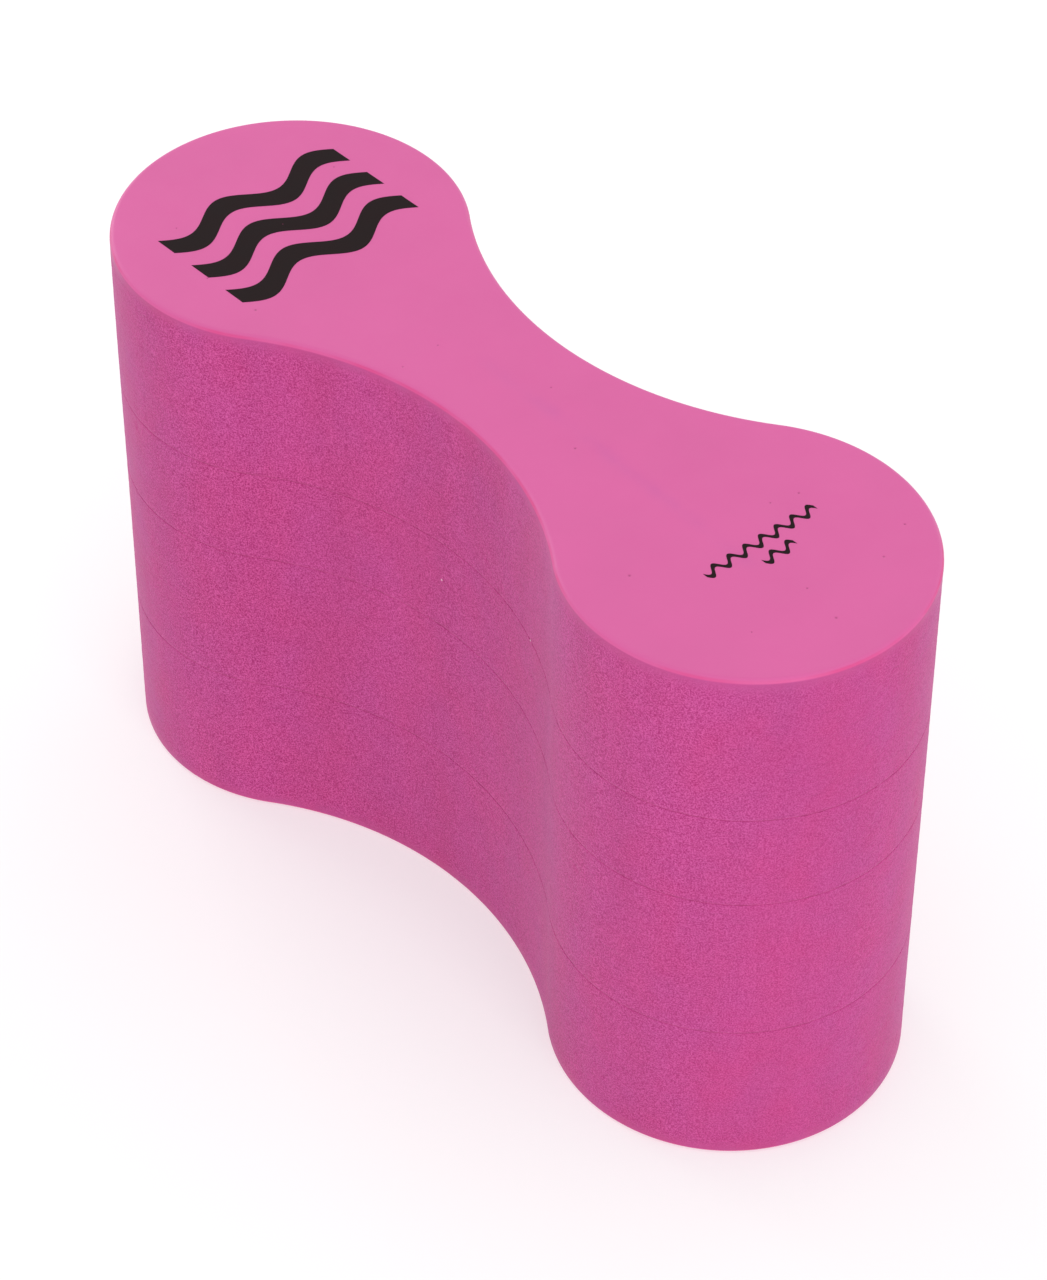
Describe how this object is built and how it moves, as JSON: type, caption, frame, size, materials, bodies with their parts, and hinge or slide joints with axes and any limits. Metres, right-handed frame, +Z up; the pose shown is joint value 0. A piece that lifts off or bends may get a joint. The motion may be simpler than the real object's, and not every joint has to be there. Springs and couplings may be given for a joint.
{
  "type": "pull buoy",
  "caption": "Hourglass-shaped swimming float of laminated closed-cell foam sheets, with rounded rims and a printed wave emblem, held between the thighs.",
  "frame": {"origin": "centre of the flat base face that the buoy stands on", "axes": "+X along the length, from the lobe with the wave emblem to the lobe with the small print; +Y across the width; +Z up through the stacked sheets to the printed face"},
  "size_m": [0.23, 0.0818, 0.1459],
  "materials": {
    "foam": "matt cut closed-cell foam with a smooth satin skin on the two flat faces",
    "glue": "thin cured adhesive line, satin",
    "ink": "matt black screen-printed ink"
  },
  "bodies": {
    "root": {"base_sheet": "foam", "lower_middle_sheet": "foam", "upper_middle_sheet": "foam", "top_sheet": "foam", "lower_glue_film": "glue", "middle_glue_film": "glue", "upper_glue_film": "glue", "outer_wave_print": "ink", "middle_wave_print": "ink", "inner_wave_print": "ink", "long_line_print": "ink", "short_line_print": "ink"}
  },
  "joints": []
}
